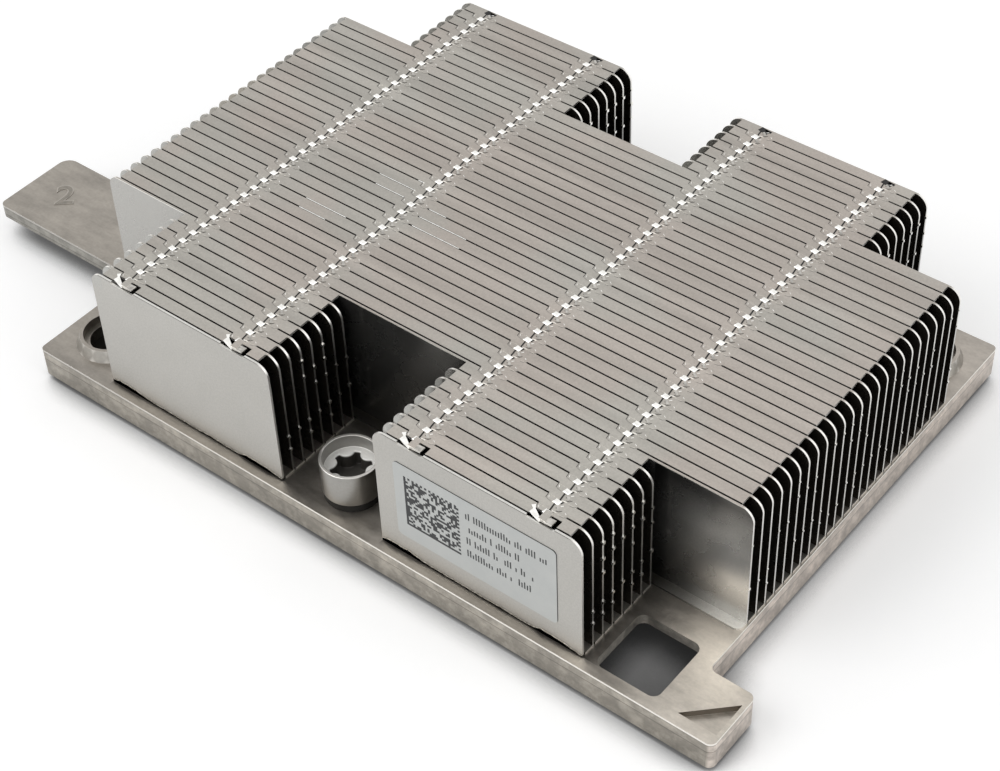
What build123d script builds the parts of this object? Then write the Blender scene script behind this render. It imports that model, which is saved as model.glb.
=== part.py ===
from build123d import *
import os

os.makedirs("parts", exist_ok=True)

# Passive heatsink for a server processor: a cast aluminium base carries a low stack of folded fins.
# The fins hook into each other along four rows and are soldered to the base.
# +X runs along the long side, +Y from the front to the rear, +Z up.
# The origin is the centre of the contact pad's bottom face.

# Base casting
BASE_LENGTH = 108.0
BASE_DEPTH = 80.0
RIM_HEIGHT = 4.6
RIM_WIDTH = 1.7
PLATE_THICKNESS = 1.6
BASE_CORNER_RADIUS = 0.8
PAD_LENGTH = 70.0
PAD_DEPTH = 52.0
PAD_DROP = 1.0

# Long thin tab at the left
LONG_TAB_LENGTH = 29.2
LONG_TAB_WIDTH = 14.2
LONG_TAB_THICKNESS = 2.2
LONG_TAB_FRONT_OFFSET = 18.7
LONG_TAB_FRONT_RADIUS = 1.0
LONG_TAB_REAR_RADIUS = 2.0

# Short tab at the right with a three-cornered recess
SHORT_TAB_LENGTH = 6.8
SHORT_TAB_WIDTH = 9.3
SHORT_TAB_RADIUS = 1.0
TRIANGLE_LEG = 5.5
TRIANGLE_SIDE_MARGIN = 0.6
TRIANGLE_FRONT_MARGIN = 1.7
TRIANGLE_DEPTH = 1.0

# Window through the plate in the front right corner
WINDOW_LENGTH = 9.2
WINDOW_DEPTH = 10.0
WINDOW_RIGHT_MARGIN = 2.5
WINDOW_CORNER_RADIUS = 1.2

# Raised bosses for the guide pins, at two opposite corners
BOSS_INSET_X = 6.9
BOSS_INSET_Y = 7.4
BOSS_FOOT_RADIUS = 5.0
BOSS_TOP_RADIUS = 4.3
BOSS_HEIGHT = 1.6
GUIDE_HOLE_RADIUS = 3.0
COUNTERBORE_RADIUS = 3.8
COUNTERBORE_DEPTH = 1.3

# Captive nuts in the two notches of the fin stack, each on a retaining washer
NUT_EDGE_INSET = 5.9
NUT_HEAD_RADIUS = 4.15
NUT_HEAD_HEIGHT = 5.2
NUT_RIM_WIDTH = 0.5
NUT_RIM_DEPTH = 2.0
SHANK_RADIUS = 2.8
SHANK_CLEARANCE = 0.2
SHANK_TIP_INSET = 0.6
THREAD_RADIUS = 1.65
THREAD_LENGTH = 4.4
DRIVE_TIP_RADIUS = 2.8
DRIVE_ROOT_RADIUS = 2.0
DRIVE_ROOT_CURVE = 1.15
DRIVE_DEPTH = 2.2
DRIVE_LOBES = 6
DRIVE_ANGLE = 23
WASHER_RADIUS = 4.0
WASHER_THICKNESS = 1.3
HOLE_WALL = 2.0

# Folded fin stack
FIN_COUNT = 40
COVER_STATION = 1
FRONT_BLOCK_FINS = 8
REAR_BLOCK_FINS = 7
FIN_HEIGHT = 20.3
SHEET_THICKNESS = 0.3
STACK_FRONT_MARGIN = 1.6
STACK_REAR_MARGIN = 0.1
FIN_END_MARGIN = 0.25
FIN_CORNER_RADIUS = 2.0
FLANGE_SLIT = 0.25
LEDGE_CORNER_RADIUS = 1.0
BLOCK_INSET = 13.3
NOTCH_WIDTH = 17.4

# Zipper rows, where each top flange reaches forward to the fin ahead of it
ZIPPER_INSET = 6.05
ZIPPER_WIDTH = 4.1
ZIPPER_CLEARANCE = 0.05
TONGUE_WIDTH = 1.0
TONGUE_RISE = 0.2
OPEN_ZIPPER_DEPTH = 1.1

# Front cover fins and their label
COVER_GAP = 0.35
LABEL_LENGTH = 25.2
LABEL_HEIGHT = 13.1
LABEL_SIDE_SHIFT = 0.3
LABEL_THICKNESS = 0.1

# Heights and places that follow from the sizes above
BASE_TOP = PAD_DROP + RIM_HEIGHT
PLATE_BOTTOM = BASE_TOP - PLATE_THICKNESS
FIN_TOP = BASE_TOP + FIN_HEIGHT
HALF_LENGTH = BASE_LENGTH / 2
HALF_DEPTH = BASE_DEPTH / 2
SHORT_TAB_END = HALF_LENGTH + SHORT_TAB_LENGTH
BLOCK_INNER = NOTCH_WIDTH / 2
BLOCK_OUTER = HALF_LENGTH - BLOCK_INSET
WIDE_END = HALF_LENGTH - FIN_END_MARGIN
STACK_DEPTH = BASE_DEPTH - STACK_FRONT_MARGIN - STACK_REAR_MARGIN
FIN_PITCH = (STACK_DEPTH - SHEET_THICKNESS) / (FIN_COUNT - 1)
FLANGE_REACH = FIN_PITCH - SHEET_THICKNESS - FLANGE_SLIT
BOSS_X = HALF_LENGTH - BOSS_INSET_X
BOSS_Y = HALF_DEPTH - BOSS_INSET_Y
HOLLOW_LENGTH = BASE_LENGTH - 2 * RIM_WIDTH
HOLLOW_DEPTH = BASE_DEPTH - 2 * RIM_WIDTH
GUIDE_BLOCK_LENGTH = BOSS_INSET_X + GUIDE_HOLE_RADIUS + HOLE_WALL - RIM_WIDTH
GUIDE_BLOCK_DEPTH = BOSS_INSET_Y + GUIDE_HOLE_RADIUS + HOLE_WALL - RIM_WIDTH
NUT_Y = HALF_DEPTH - NUT_EDGE_INSET
NUT_SEAT = BASE_TOP + WASHER_THICKNESS
NUT_TOP = NUT_SEAT + NUT_HEAD_HEIGHT
NUT_FLOOR = NUT_TOP - NUT_RIM_DEPTH
SHANK_TIP = PAD_DROP + SHANK_TIP_INSET
SHANK_HOLE_RADIUS = SHANK_RADIUS + SHANK_CLEARANCE
INNER_ZIPPER = BLOCK_INNER + ZIPPER_INSET
OUTER_ZIPPER = BLOCK_OUTER - ZIPPER_INSET
GUIDE_PLACES = [(-BOSS_X, -BOSS_Y), (BOSS_X, BOSS_Y)]
NUT_PLACES = [(0, -NUT_Y), (0, NUT_Y)]


# Base plate: cast body, contact pad, tabs, window, bosses and holes
with BuildPart() as base_plate:
    with BuildSketch(Plane.XY.offset(PAD_DROP)) as plan:
        RectangleRounded(BASE_LENGTH, BASE_DEPTH, BASE_CORNER_RADIUS)
        with Locations((SHORT_TAB_END, -HALF_DEPTH)):
            Rectangle(
                SHORT_TAB_LENGTH + BASE_CORNER_RADIUS,
                SHORT_TAB_WIDTH,
                align=(Align.MAX, Align.MIN),
            )
        outer_corners = plan.vertices().group_by(Axis.X)[-1]
        inner_place = (HALF_LENGTH, -HALF_DEPTH + SHORT_TAB_WIDTH)
        inner_corner = plan.vertices().sort_by_distance(inner_place)[0]
        fillet([*outer_corners, inner_corner], SHORT_TAB_RADIUS)
    extrude(amount=RIM_HEIGHT)

    # Long tab, flush with the top of the plate
    with BuildSketch(Plane.XY.offset(BASE_TOP)) as long_tab:
        with Locations((-HALF_LENGTH + BASE_CORNER_RADIUS, -HALF_DEPTH + LONG_TAB_FRONT_OFFSET)):
            Rectangle(
                LONG_TAB_LENGTH + BASE_CORNER_RADIUS,
                LONG_TAB_WIDTH,
                align=(Align.MAX, Align.MIN),
            )
        tab_corners = long_tab.vertices().group_by(Axis.X)[0].sort_by(Axis.Y)
        fillet(tab_corners[0], LONG_TAB_FRONT_RADIUS)
        tab_corners = long_tab.vertices().sort_by_distance(tab_corners[-1])
        fillet(tab_corners[0], LONG_TAB_REAR_RADIUS)
    extrude(amount=-LONG_TAB_THICKNESS)

    # Hollow underside around the contact pad, the ribs of the nuts and the guide holes' corner blocks
    with BuildSketch(Plane.XY.offset(PAD_DROP)):
        Rectangle(HOLLOW_LENGTH, HOLLOW_DEPTH)
        Rectangle(PAD_LENGTH, PAD_DEPTH, mode=Mode.SUBTRACT)
        Rectangle(2 * (SHANK_HOLE_RADIUS + HOLE_WALL), HOLLOW_DEPTH, mode=Mode.SUBTRACT)
        for side in (-1, 1):
            block_x = side * (HOLLOW_LENGTH - GUIDE_BLOCK_LENGTH) / 2
            block_y = side * (HOLLOW_DEPTH - GUIDE_BLOCK_DEPTH) / 2
            with Locations((block_x, block_y)):
                Rectangle(GUIDE_BLOCK_LENGTH, GUIDE_BLOCK_DEPTH, mode=Mode.SUBTRACT)
    extrude(amount=PLATE_BOTTOM - PAD_DROP, mode=Mode.SUBTRACT)
    with BuildSketch():
        Rectangle(PAD_LENGTH, PAD_DEPTH)
    extrude(amount=PAD_DROP)

    # Window, its front wall in line with the inside of the rim
    window_x = HALF_LENGTH - WINDOW_RIGHT_MARGIN - WINDOW_LENGTH / 2
    window_y = -HALF_DEPTH + RIM_WIDTH + WINDOW_DEPTH / 2
    with BuildSketch(Plane.XY.offset(BASE_TOP)):
        with Locations((window_x, window_y)):
            RectangleRounded(WINDOW_LENGTH, WINDOW_DEPTH, WINDOW_CORNER_RADIUS)
    extrude(amount=-RIM_HEIGHT, mode=Mode.SUBTRACT)

    # Three-cornered recess in the short tab
    corner_x = SHORT_TAB_END - TRIANGLE_SIDE_MARGIN
    corner_y = -HALF_DEPTH + TRIANGLE_FRONT_MARGIN
    with BuildSketch(Plane.XY.offset(BASE_TOP)):
        with BuildLine():
            Polyline(
                (corner_x, corner_y),
                (corner_x, corner_y + TRIANGLE_LEG),
                (corner_x - TRIANGLE_LEG, corner_y),
                close=True,
            )
        make_face()
    extrude(amount=-TRIANGLE_DEPTH, mode=Mode.SUBTRACT)

    # Tapered bosses with stepped guide holes
    with Locations([(x, y, BASE_TOP) for x, y in GUIDE_PLACES]):
        Cone(
            BOSS_FOOT_RADIUS,
            BOSS_TOP_RADIUS,
            BOSS_HEIGHT,
            align=(Align.CENTER, Align.CENTER, Align.MIN),
        )
    with Locations([(x, y, BASE_TOP + BOSS_HEIGHT) for x, y in GUIDE_PLACES]):
        CounterBoreHole(GUIDE_HOLE_RADIUS, COUNTERBORE_RADIUS, COUNTERBORE_DEPTH)

    # Holes for the shanks of the captive nuts
    with Locations([(x, y, BASE_TOP) for x, y in NUT_PLACES]):
        Hole(SHANK_HOLE_RADIUS)
base_plate.part.label = "base_plate"
export_step(base_plate.part, "parts/base_plate.step")


# Retaining washers between the base and the nut heads
with BuildPart() as retaining_washers:
    with BuildSketch(Plane.XY.offset(BASE_TOP)):
        with Locations(NUT_PLACES):
            Circle(WASHER_RADIUS)
            Circle(SHANK_HOLE_RADIUS, mode=Mode.SUBTRACT)
    extrude(amount=WASHER_THICKNESS)
retaining_washers.part.label = "retaining_washers"
export_step(retaining_washers.part, "parts/retaining_washers.step")


# Captive nuts: turned heads with a thin rim, six-lobed drive and a threaded shank
with BuildPart() as captive_nuts:
    with BuildSketch(Plane.XY.offset(SHANK_TIP)):
        with Locations(NUT_PLACES):
            Circle(SHANK_RADIUS)
    extrude(amount=NUT_SEAT - SHANK_TIP)
    with BuildSketch(Plane.XY.offset(NUT_SEAT)):
        with Locations(NUT_PLACES):
            Circle(NUT_HEAD_RADIUS)
    extrude(amount=NUT_HEAD_HEIGHT)
    with BuildSketch(Plane.XY.offset(NUT_TOP)):
        with Locations(NUT_PLACES):
            Circle(NUT_HEAD_RADIUS - NUT_RIM_WIDTH)
    extrude(amount=-NUT_RIM_DEPTH, mode=Mode.SUBTRACT)
    with BuildSketch(Plane.XY.offset(NUT_FLOOR)):
        with Locations(NUT_PLACES):
            Circle(DRIVE_TIP_RADIUS)
            root_place = DRIVE_ROOT_RADIUS + DRIVE_ROOT_CURVE
            with PolarLocations(root_place, DRIVE_LOBES, start_angle=DRIVE_ANGLE):
                Circle(DRIVE_ROOT_CURVE, mode=Mode.SUBTRACT)
    extrude(amount=-DRIVE_DEPTH, mode=Mode.SUBTRACT)
    with BuildSketch(Plane.XY.offset(SHANK_TIP)):
        with Locations(NUT_PLACES):
            Circle(THREAD_RADIUS)
    extrude(amount=THREAD_LENGTH, mode=Mode.SUBTRACT)
captive_nuts.part.label = "captive_nuts"
export_step(captive_nuts.part, "parts/captive_nuts.step")


def fin_face(station):
    """Front face of a fin, counted from 1 at the front."""
    return -HALF_DEPTH + STACK_FRONT_MARGIN + (station - 1) * FIN_PITCH


def make_fin(name, station, left, right, top_spans, zippers, lower_radius=0):
    """One folded fin: an upright web with a flange at the top and one at the bottom.

    Both flanges fold towards the front and leave a slit to the fin ahead. At each zipper the top
    flange closes the slit and bears on the back of the fin ahead. The fin behind a cover has open
    zippers instead, each with a narrow tongue that stands a little proud of the flange.
    """
    front = fin_face(station)
    back = front + SHEET_THICKNESS
    back_of_fin_ahead = back - FIN_PITCH
    flange_front = front - FLANGE_REACH
    behind_cover = station == COVER_STATION + 1
    with BuildPart() as fin:
        with BuildSketch(Plane.XZ.offset(-back)) as web:
            with Locations(((left + right) / 2, BASE_TOP)):
                Rectangle(right - left, FIN_HEIGHT, align=(Align.CENTER, Align.MIN))
            fillet(web.vertices().group_by(Axis.Y)[-1], FIN_CORNER_RADIUS)
        extrude(amount=SHEET_THICKNESS)
        with BuildSketch(Plane.XY.offset(FIN_TOP)):
            for span_left, span_right in top_spans:
                with Locations(((span_left + span_right) / 2, flange_front)):
                    Rectangle(
                        span_right - span_left,
                        FLANGE_REACH,
                        align=(Align.CENTER, Align.MIN),
                    )
            if behind_cover:
                with Locations([(zipper, flange_front) for zipper in zippers]):
                    Rectangle(
                        ZIPPER_WIDTH,
                        OPEN_ZIPPER_DEPTH,
                        align=(Align.CENTER, Align.MIN),
                        mode=Mode.SUBTRACT,
                    )
            else:
                with Locations([(zipper, back_of_fin_ahead) for zipper in zippers]):
                    Rectangle(
                        ZIPPER_WIDTH,
                        front - back_of_fin_ahead,
                        align=(Align.CENTER, Align.MIN),
                    )
        extrude(amount=-SHEET_THICKNESS)
        if behind_cover:
            tip = back_of_fin_ahead + ZIPPER_CLEARANCE
            with BuildSketch(Plane.XY.offset(FIN_TOP + TONGUE_RISE)):
                with Locations([(zipper, tip) for zipper in zippers]):
                    Rectangle(TONGUE_WIDTH, front - tip, align=(Align.CENTER, Align.MIN))
            extrude(amount=-SHEET_THICKNESS - TONGUE_RISE)
        with BuildSketch(Plane.XY.offset(BASE_TOP)) as lower:
            with Locations(((left + right) / 2, flange_front)):
                Rectangle(right - left, FLANGE_REACH, align=(Align.CENTER, Align.MIN))
            if lower_radius:
                fillet(lower.vertices().group_by(Axis.Y)[0], lower_radius)
        extrude(amount=SHEET_THICKNESS)
    fin.part.label = name
    export_step(fin.part, f"parts/{name}.step")


def make_cover_fin(name, left, right, zippers):
    """Plain first sheet of a front block, standing on short feet at its zippers."""
    back = fin_face(COVER_STATION) + SHEET_THICKNESS
    with BuildPart() as cover:
        with BuildSketch(Plane.XZ.offset(-back)) as web:
            with Locations(((left + right) / 2, BASE_TOP + COVER_GAP)):
                Rectangle(right - left, FIN_HEIGHT - COVER_GAP, align=(Align.CENTER, Align.MIN))
            fillet(web.vertices().group_by(Axis.Y)[-1], FIN_CORNER_RADIUS)
            with Locations([(zipper, BASE_TOP) for zipper in zippers]):
                Rectangle(ZIPPER_WIDTH, COVER_GAP, align=(Align.CENTER, Align.MIN))
            with Locations([(zipper, FIN_TOP) for zipper in zippers]):
                Rectangle(
                    ZIPPER_WIDTH + 2 * ZIPPER_CLEARANCE,
                    SHEET_THICKNESS + ZIPPER_CLEARANCE,
                    align=(Align.CENTER, Align.MAX),
                    mode=Mode.SUBTRACT,
                )
        extrude(amount=SHEET_THICKNESS)
    cover.part.label = name
    export_step(cover.part, f"parts/{name}.step")


def flange_span(left, right):
    """A top flange runs between the rounded corners of its web."""
    return left + FIN_CORNER_RADIUS, right - FIN_CORNER_RADIUS


BLOCKS = {
    "left": (-BLOCK_OUTER, -BLOCK_INNER, [-OUTER_ZIPPER, -INNER_ZIPPER]),
    "right": (BLOCK_INNER, BLOCK_OUTER, [INNER_ZIPPER, OUTER_ZIPPER]),
}
ALL_ZIPPERS = BLOCKS["left"][2] + BLOCKS["right"][2]
WIDE_FINS = FIN_COUNT - FRONT_BLOCK_FINS - REAR_BLOCK_FINS

# Front and rear blocks, with the notches for the nuts between their halves
for side, (left, right, zippers) in BLOCKS.items():
    make_cover_fin(f"front_{side}_fin_1", left, right, zippers)
    for number in range(2, FRONT_BLOCK_FINS + 1):
        make_fin(
            f"front_{side}_fin_{number}",
            number,
            left,
            right,
            [flange_span(left, right)],
            zippers,
        )
    for number in range(1, REAR_BLOCK_FINS + 1):
        make_fin(
            f"rear_{side}_fin_{number}",
            FRONT_BLOCK_FINS + WIDE_FINS + number,
            left,
            right,
            [flange_span(left, right)],
            zippers,
        )

# Wide fins: the first has its top flange only behind the front blocks
block_spans = [flange_span(left, right) for left, right, zippers in BLOCKS.values()]
make_fin(
    "wide_fin_1",
    FRONT_BLOCK_FINS + 1,
    -WIDE_END,
    WIDE_END,
    block_spans,
    ALL_ZIPPERS,
    LEDGE_CORNER_RADIUS,
)
for number in range(2, WIDE_FINS + 1):
    make_fin(
        f"wide_fin_{number}",
        FRONT_BLOCK_FINS + number,
        -WIDE_END,
        WIDE_END,
        [flange_span(-WIDE_END, WIDE_END)],
        ALL_ZIPPERS,
    )


# Label on the right front cover fin
label_x = (BLOCK_INNER + BLOCK_OUTER) / 2 - LABEL_SIDE_SHIFT
label_z = BASE_TOP + FIN_HEIGHT / 2
with BuildPart() as label:
    with BuildSketch(Plane.XZ.offset(-fin_face(COVER_STATION))):
        with Locations((label_x, label_z)):
            Rectangle(LABEL_LENGTH, LABEL_HEIGHT)
    extrude(amount=LABEL_THICKNESS)
label.part.label = "label"
export_step(label.part, "parts/label.step")
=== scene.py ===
import math
import random

import bmesh
import bpy
from mathutils import Matrix, Vector


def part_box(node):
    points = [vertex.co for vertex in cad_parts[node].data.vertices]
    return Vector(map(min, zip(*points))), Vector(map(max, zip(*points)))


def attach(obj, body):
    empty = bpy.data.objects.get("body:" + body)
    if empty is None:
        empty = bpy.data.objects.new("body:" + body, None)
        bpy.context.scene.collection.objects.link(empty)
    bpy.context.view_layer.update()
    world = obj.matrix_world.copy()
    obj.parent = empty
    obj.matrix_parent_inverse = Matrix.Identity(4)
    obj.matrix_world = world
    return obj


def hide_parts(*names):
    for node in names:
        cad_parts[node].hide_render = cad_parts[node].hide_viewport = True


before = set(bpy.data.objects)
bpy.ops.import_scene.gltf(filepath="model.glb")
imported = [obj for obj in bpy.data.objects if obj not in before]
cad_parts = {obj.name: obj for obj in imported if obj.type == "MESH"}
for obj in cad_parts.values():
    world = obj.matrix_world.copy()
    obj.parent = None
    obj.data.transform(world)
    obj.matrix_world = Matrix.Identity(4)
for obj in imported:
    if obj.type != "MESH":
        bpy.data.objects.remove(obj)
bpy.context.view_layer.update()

MM = 0.001
NEAR = 0.004 * MM
MERGE_DISTANCE = 0.002 * MM
FLAT_ANGLE = math.radians(1)
SMOOTH_ANGLE = math.radians(35)
SQUARE_LIMIT = 0.9999
FULL_TURN = 2 * math.pi
EASE_STEPS = 2

# Fin stack, measured on the frame
cover_low, cover_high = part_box("front_right_fin_1")
wide_low, wide_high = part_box("wide_fin_2")
next_wide_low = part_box("wide_fin_3")[0]
FIN_TOP = wide_high.z
BASE_TOP = wide_low.z
SHEET = cover_high.y - cover_low.y
PITCH = next_wide_low.y - wide_low.y
FIRST_FACE = cover_low.y
FIN_COUNT = 40
FRONT_BLOCK_FINS = 8
REAR_BLOCK_FINS = 7
WIDE_FINS = FIN_COUNT - FRONT_BLOCK_FINS - REAR_BLOCK_FINS
BLOCK_INNER = cover_low.x
BLOCK_OUTER = cover_high.x
WIDE_END = wide_high.x
LOBE_WIDTH = 2.0 * MM
LOBE_HEIGHT = 1.9 * MM
BEND_RADIUS = 0.15 * MM
BEND_STEPS = 3
RIM_HEIGHT = 0.1 * MM

# Painted shade on the cut ends of the fins: how bright they are low down
COVER_END_LEVEL = 0.9
WIDE_END_LEVEL = 0.72
LEFT_END_LEVEL = 0.3
RIGHT_END_LEVEL = 0.45

# Painted light and shade on the web behind the front notches and on the ledge below it
NOTCH_MIDDLE_LEVEL = 0.115
NOTCH_LEFT_LEVEL = 0.46
NOTCH_LEFT_STOP = -BLOCK_OUTER + 3.5 * MM
NOTCH_RIGHT_START = BLOCK_OUTER - 1.0 * MM
NOTCH_RIGHT_FULL = WIDE_END - 3.0 * MM
LEDGE_REACH = 9.0 * MM

# Zipper rows across the top flanges
ZIPPER_INSET = 6.05 * MM
SLIT = 0.25 * MM
MARK_THICKNESS = 0.02 * MM
ZIPPER_ROWS = (
    -BLOCK_OUTER + ZIPPER_INSET,
    -BLOCK_INNER - ZIPPER_INSET,
    BLOCK_INNER + ZIPPER_INSET,
    BLOCK_OUTER - ZIPPER_INSET,
)
BEAD_PLACE = Vector((-0.36, 1.38, 0)) * MM
BEAD_SIZE = Vector((1.02, 0.9, 0.3)) * MM
BEAD_RISE = 0.15 * MM
BEAD_EDGE = 0.2 * MM
BEAD_SKEW = math.radians(-8)

# Nibs left on the ends of the sheets
NIB_HEIGHTS = (4.3 * MM, 6.6 * MM, 11.8 * MM, 14.4 * MM, 17.0 * MM)
NIB_SIZE = Vector((0.4, 0.46, 0.46)) * MM
NIB_REACH = 0.2 * MM
NIB_SCATTER = 0.15 * MM
NIB_SMALLEST = 0.75
NIB_SHARE = 0.7
WIDE_NIB_SHARE = 0.45
WIDE_NIB_SCALE = 0.65
NIB_SEED = 4

# Label and its print
LABEL_CORNER = 0.7 * MM
LABEL_CORNER_STEPS = 6
PRINT_THICKNESS = 0.02 * MM
SHADOW_SHIFT = 0.05 * MM
CODE_CELLS = 26
CODE_SIDE = 8.7 * MM
CODE_LEFT = 1.65 * MM
CODE_TOP = 1.8 * MM
CODE_SHARE = 0.47
CODE_SEED = 12
TEXT_LEFT = 11.4 * MM
TEXT_TOPS = (2.05 * MM, 4.3 * MM, 6.5 * MM, 8.75 * MM)
TEXT_LENGTHS = (13.0 * MM, 9.4 * MM, 10.5 * MM, 10.4 * MM)
TEXT_HEIGHT = 1.15 * MM
BAR_STEP = 0.42 * MM
BAR_SHARE = 0.8
BAR_HEIGHTS = (0.55, 0.75, 1.0, 1.0)
STROKE = 0.18 * MM

# Lower edge of the covers, and the painted shade of the gap under them
FOOT_STEPS = 60
FOOT_KNOTS = (0.0, 0.05, 0.16, 0.2, 0.3, 0.52, 0.6, 0.7, 0.76, 0.8, 0.9, 1.0)
FOOT_HEIGHTS = (0.45, 0.85, 0.75, 0.45, 0.3, 0.28, 0.4, 0.24, 0.3, 0.8, 0.7, 0.2)
FOOT_JITTER = 0.06 * MM
FOOT_BAND = 0.16 * MM
FOOT_RISE = 0.08 * MM
FOOT_LEAN = 0.02 * MM
CURL_THICKNESS = 0.8 * FOOT_RISE
GAP_RISE = 0.02 * MM
GAP_THICKNESS = 0.015 * MM
FOOT_SEED = 9

# Base
base_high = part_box("base_plate")[1]
PLATE_THICKNESS = 1.6 * MM
BASE_EDGE = 0.2 * MM
BASE_SHARP_ANGLE = math.radians(40)
LONG_EDGE = 0.5 * MM
SIDE_DEPTH = 1.0 * MM
RECESS_LIMIT = 95.0 * MM
RECESS_REACH = 6.6 * MM
RECESS_DEPTH = 0.5 * MM
RECESS_SLANT = 1.2

# Looks of the base: the painted highlight along its upper edge, where its top turns lighter along x
# and y, and the painted shade to the right of two ends of the blocks of fins
EDGE_LINE = 0.28 * MM
RIGHT_FADE = (36.0 * MM, 50.0 * MM)
FRONT_FADE = (-20.0 * MM, -29.0 * MM)
BLOCK_SHADE_REACH = 4.0 * MM
BLOCK_SHADES = ((-BLOCK_INNER, 0.25), (BLOCK_OUTER, 0.7))

# Raised number on the long tab
TAB_MARK = "2"
TAB_MARK_EDGE = 0.16 * MM
TAB_MARK_LIFT = 1.3
TAB_MARK_PLACE = Vector((-76.4, -14.1, 0)) * MM
TAB_MARK_SIZE = 6.2 * MM
TAB_MARK_RISE = 0.08 * MM
TAB_MARK_TURN = math.radians(40)

# Nuts
nut_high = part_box("captive_nuts")[1]
NUT_RADIUS = 4.15 * MM
NUT_Y = nut_high.y - NUT_RADIUS
NUT_EDGE = 0.12 * MM
NUT_SHARP_ANGLE = math.radians(60)
NUT_RIM_DEPTH = 2.0 * MM
NUT_BORE = 3.7 * MM
NUT_RING_PITCH = 0.16 * MM
NUT_TURN_PITCH = 0.2 * MM

# Floor, surround and lamps: a lamp's place, size and power
FLOOR_SIZE = 3.0
FLOOR_GLOW = 0.24
FLOOR_SHADE_REACH = 8.0 * MM
FLOOR_SHADE_BLUR = 2.0 * MM
SURROUND_LEVEL = 0.65
LAMPS = {
    "key_lamp": ((-0.5, -0.7, 0.9), 0.8, 5.0),
    "fill_lamp": ((0.9, 0.2, 0.7), 0.8, 2.0),
}

# Camera
CAMERA_PLACE = Vector((0.1388, -0.1680, 0.2088))
CAMERA_FORWARD = Vector((-0.4637, 0.5499, -0.6947))
CAMERA_ROLL = math.radians(-2.53)
CAMERA_LENS = 76.47
SENSOR_WIDTH = 36
CLIP_START = 0.01

# Range that most of a noise falls in, and its middle
NOISE_LOW = 0.3
NOISE_HIGH = 0.7
NOISE_MIDDLE = 0.5

# Colours, linear: fins
FLANGE = (0.43, 0.391, 0.354, 1)
FLANGE_GREY = (0.415, 0.397, 0.362, 1)
# Painted shade of the webs inside the stack
INSIDE_SHADE = (0.065, 0.057, 0.047, 1)
SHEET_SIDE = (0.48, 0.468, 0.44, 1)
LOBE = (0.47, 0.465, 0.44, 1)
CUT_END = (0.84, 0.825, 0.79, 1)
LOW_END = (0.9, 0.885, 0.85)
COVER_TOP_HIGHLIGHT = (0.66, 0.65, 0.62, 1)
SHADED_EDGE = (0.1, 0.095, 0.085, 1)
DIM_LEDGE = (0.16, 0.15, 0.13, 1)
NOTCH_WEB = (1.0, 0.98, 0.93, 1)
# Painted highlight on the lit rims, the bends and the lit ledge
SHEET_HIGHLIGHT = (0.92, 0.9, 0.85, 1)

# Colours, linear: base
SKIN = (0.35, 0.322, 0.285, 1)
SKIN_RIGHT = (0.46, 0.42, 0.375, 1)
SKIN_TAB = (0.69, 0.635, 0.56, 1)
LONG_SIDE = (0.46, 0.425, 0.37, 1)
LONG_TAB_SIDE = (0.37, 0.355, 0.32, 1)
LIT_END_SIDE = (0.75, 0.67, 0.6, 1)
SHADED_INNER_SIDE = (0.27, 0.25, 0.22, 1)
LIT_WINDOW_SIDE = (0.8, 0.75, 0.67, 1)
SHADED_RECESS_WALL = (0.19, 0.17, 0.145, 1)
WORN_AND_LIT_CASTING = (0.95, 0.92, 0.86, 1)
DARK_LINE = (0.07, 0.063, 0.055, 1)

# Colours, linear: nuts
STEEL = (0.34, 0.33, 0.31, 1)
LIT_STEEL_TOP = (0.62, 0.6, 0.565, 1)
BORE_WALL = (0.3, 0.29, 0.27, 1)
LIT_BORE_FLOOR = (0.95, 0.94, 0.9, 1)
DRIVE_SHADE = (0.07, 0.065, 0.058, 1)
WORN_AND_LIT_STEEL = (0.8, 0.78, 0.73, 1)
WHITE = (1, 1, 1, 1)


def grey(level):
    return (level, level, level, 1)


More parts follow.
